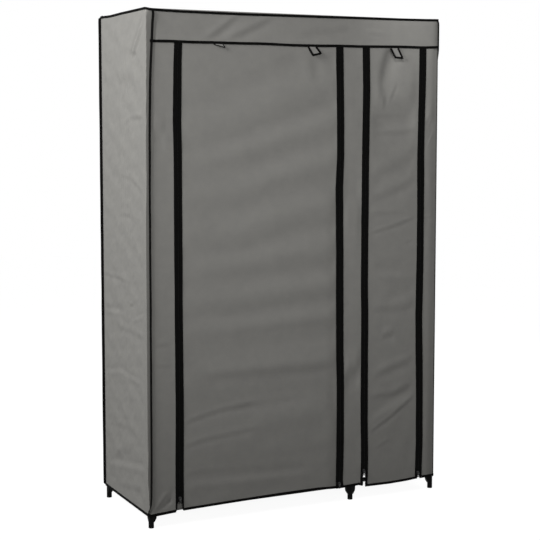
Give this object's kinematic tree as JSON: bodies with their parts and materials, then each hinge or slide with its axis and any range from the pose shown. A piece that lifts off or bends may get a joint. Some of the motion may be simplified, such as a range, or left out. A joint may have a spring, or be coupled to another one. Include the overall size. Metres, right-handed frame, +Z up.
{
  "type": "portable fabric wardrobe",
  "caption": "Free-standing wardrobe of sewn cloth over a thin tube frame, with zipped roll-up doors, a hanging bay, a stack of cloth shelves and dark bound seams.",
  "frame": {"origin": "on the floor, under the middle of the cover", "axes": "+Z up, -Y out of the front with the doors, +X towards the narrow bay, on the right as seen from the front"},
  "size_m": [1.15, 0.4572, 1.75],
  "materials": {
    "cloth": "matt nonwoven cloth",
    "binding": "matt woven tape",
    "steel": "satin powder coat",
    "plastic": "moulded, satin",
    "slider": "painted die casting"
  },
  "bodies": {
    "frame_and_cover": {"front_left_post": "steel", "front_left_foot": "plastic", "front_left_top_connector": "plastic", "front_middle_post": "steel", "front_middle_foot": "plastic", "front_middle_top_connector": "plastic", "front_right_post": "steel", "front_right_foot": "plastic", "front_right_top_connector": "plastic", "rear_left_post": "steel", "rear_left_foot": "plastic", "rear_left_top_connector": "plastic", "rear_middle_post": "steel", "rear_middle_foot": "plastic", "rear_middle_top_connector": "plastic", "rear_right_post": "steel", "rear_right_foot": "plastic", "rear_right_top_connector": "plastic", "top_front_left_rail": "steel", "top_front_right_rail": "steel", "top_rear_left_rail": "steel", "top_rear_right_rail": "steel", "bottom_left_side_rail": "steel", "bottom_middle_side_rail": "steel", "bottom_right_side_rail": "steel", "top_left_side_rail": "steel", "top_middle_side_rail": "steel", "top_right_side_rail": "steel", "hanging_rail": "steel", "wide_bay_bottom_shelf": "cloth", "bottom_front_right_rail": "steel", "bottom_rear_right_rail": "steel", "narrow_bay_shelf_1": "cloth", "narrow_bay_shelf_2": "cloth", "narrow_bay_shelf_3": "cloth", "narrow_bay_shelf_4": "cloth", "cover_back": "cloth", "cover_right_side": "cloth", "cover_front_band": "cloth", "cover_left_stile": "cloth", "cover_middle_strip": "cloth", "cover_right_stile": "cloth", "cover_top": "cloth", "cover_left_side": "cloth", "cover_binding": "binding"},
    "wide_door": {"wide_door": "cloth", "wide_door_edging": "binding"},
    "narrow_door": {"narrow_door": "cloth", "narrow_door_edging": "binding"},
    "zip_1_slider": {"zip_1_slider": "slider"},
    "zip_2_slider": {"zip_2_slider": "slider"},
    "zip_3_slider": {"zip_3_slider": "slider"},
    "zip_4_slider": {"zip_4_slider": "slider"},
    "zip_1_pull": {"zip_1_pull": "slider"},
    "zip_2_pull": {"zip_2_pull": "slider"},
    "zip_3_pull": {"zip_3_pull": "slider"},
    "zip_4_pull": {"zip_4_pull": "slider"},
    "strap_1": {"strap_1": "cloth"},
    "strap_2": {"strap_2": "cloth"},
    "strap_3": {"strap_3": "cloth"}
  },
  "joints": [
    {"name": "wide_door_roll", "type": "slide", "parent": "frame_and_cover", "child": "wide_door", "axis": [0, 0, 1], "range_m": [0, 1.45], "deforming": ["wide_door", "wide_door_edging"]},
    {"name": "narrow_door_roll", "type": "slide", "parent": "frame_and_cover", "child": "narrow_door", "axis": [0, 0, 1], "range_m": [0, 1.45], "deforming": ["narrow_door", "narrow_door_edging"]},
    {"name": "zip_1_travel", "type": "slide", "parent": "frame_and_cover", "child": "zip_1_slider", "axis": [0, 0, 1], "range_m": [0, 1.531]},
    {"name": "zip_2_travel", "type": "slide", "parent": "frame_and_cover", "child": "zip_2_slider", "axis": [0, 0, 1], "range_m": [0, 1.557]},
    {"name": "zip_3_travel", "type": "slide", "parent": "frame_and_cover", "child": "zip_3_slider", "axis": [0, 0, 1], "range_m": [0, 1.521]},
    {"name": "zip_4_travel", "type": "slide", "parent": "frame_and_cover", "child": "zip_4_slider", "axis": [0, 0, 1], "range_m": [0, 1.556]},
    {"name": "zip_1_pull_swing", "type": "hinge", "parent": "zip_1_slider", "child": "zip_1_pull", "pos_m": [-0.4635, -0.2297, 0.092], "axis": [-1, 0, 0], "range_deg": [0, 170]},
    {"name": "zip_2_pull_swing", "type": "hinge", "parent": "zip_2_slider", "child": "zip_2_pull", "pos_m": [0.161, -0.2297, 0.066], "axis": [-1, 0, 0], "range_deg": [0, 170]},
    {"name": "zip_3_pull_swing", "type": "hinge", "parent": "zip_3_slider", "child": "zip_3_pull", "pos_m": [0.264, -0.2297, 0.102], "axis": [-1, 0, 0], "range_deg": [0, 170]},
    {"name": "zip_4_pull_swing", "type": "hinge", "parent": "zip_4_slider", "child": "zip_4_pull", "pos_m": [0.4985, -0.2297, 0.067], "axis": [-1, 0, 0], "range_deg": [0, 170]},
    {"name": "strap_1_swing", "type": "hinge", "parent": "frame_and_cover", "child": "strap_1", "pos_m": [-0.314, -0.2264, 1.63545], "axis": [-1, 0, 0], "range_deg": [0, 160]},
    {"name": "strap_2_swing", "type": "hinge", "parent": "frame_and_cover", "child": "strap_2", "pos_m": [0.045, -0.2264, 1.63545], "axis": [-1, 0, 0], "range_deg": [0, 160]},
    {"name": "strap_3_swing", "type": "hinge", "parent": "frame_and_cover", "child": "strap_3", "pos_m": [0.386, -0.2264, 1.63545], "axis": [-1, 0, 0], "range_deg": [0, 160]}
  ],
  "couplings": [
    {"joint": "zip_1_travel", "follows": "wide_door_roll", "ratio": 1.0552},
    {"joint": "zip_2_travel", "follows": "wide_door_roll", "ratio": 1.0731},
    {"joint": "zip_3_travel", "follows": "narrow_door_roll", "ratio": 1.0483},
    {"joint": "zip_4_travel", "follows": "narrow_door_roll", "ratio": 1.0724}
  ]
}
